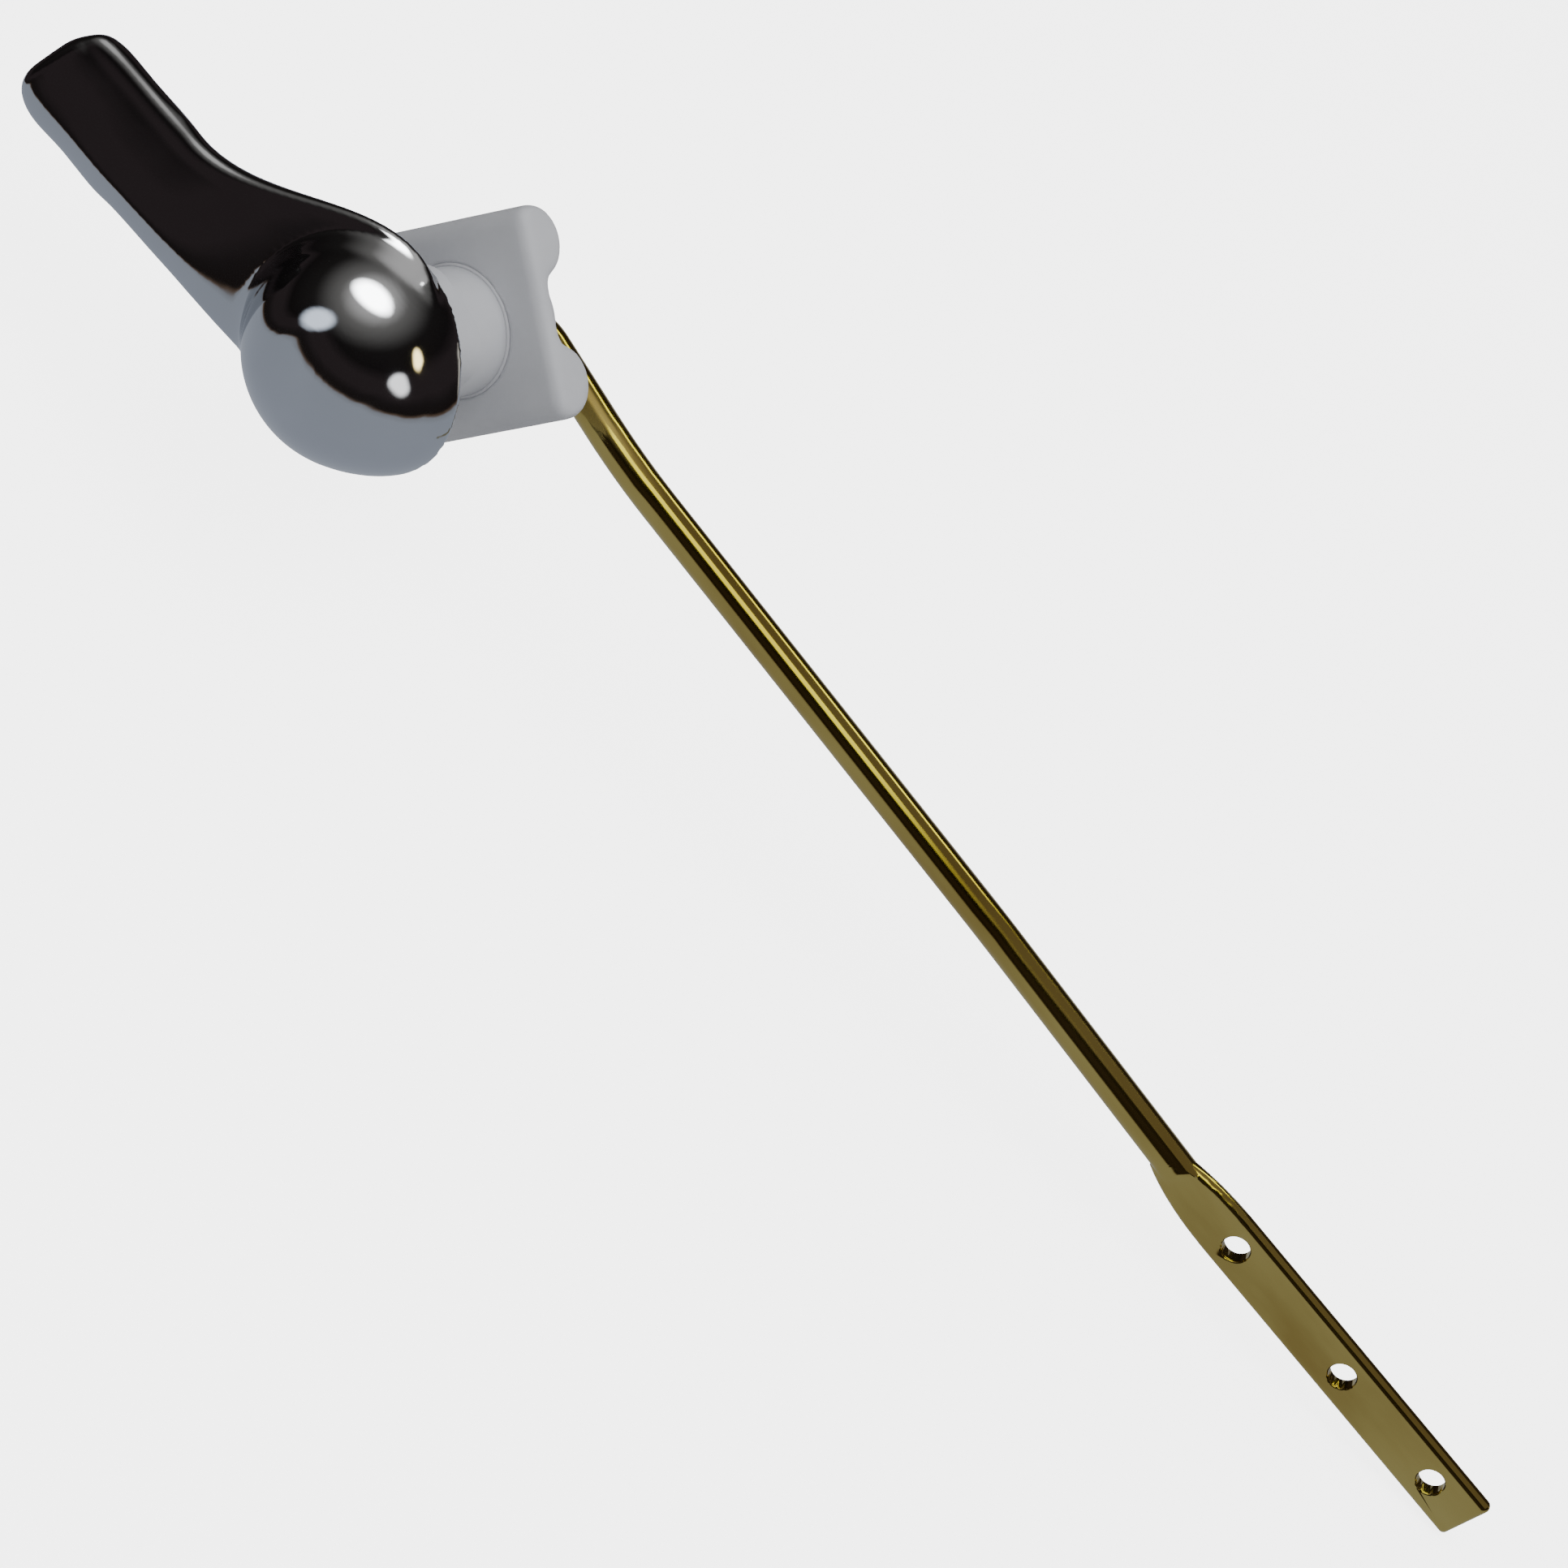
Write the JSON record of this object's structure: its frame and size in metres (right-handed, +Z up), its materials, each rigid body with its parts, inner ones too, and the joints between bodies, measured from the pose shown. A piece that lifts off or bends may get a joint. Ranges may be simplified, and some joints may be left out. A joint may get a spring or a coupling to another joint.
{
  "type": "cistern lever",
  "caption": "Front-mount cistern lever: chrome finger handle on a plastic bush with a lock nut, turning a bent brass arm with chain holes that lifts the flush valve.",
  "frame": {"origin": "on the pivot axis, in the plane of the cistern's outer wall where the bush's flange seats", "axes": "+Z up, the handle's dome faces -Y, the paddle points to -X and the arm to +X, the pivot lies along Y"},
  "size_m": [0.2327, 0.1262, 0.05],
  "materials": {
    "chrome": "polished",
    "brass": "drawn, slightly dull",
    "plastic": "moulded"
  },
  "bodies": {
    "bush": {"bush": "plastic", "lock_nut": "plastic"},
    "lever": {"handle": "chrome", "lever_arm": "brass"}
  },
  "joints": [
    {"name": "lever_pivot", "type": "hinge", "parent": "bush", "child": "lever", "pos_m": [0, 0, 0], "axis": [0, -1, 0], "range_deg": [0, 35]}
  ]
}
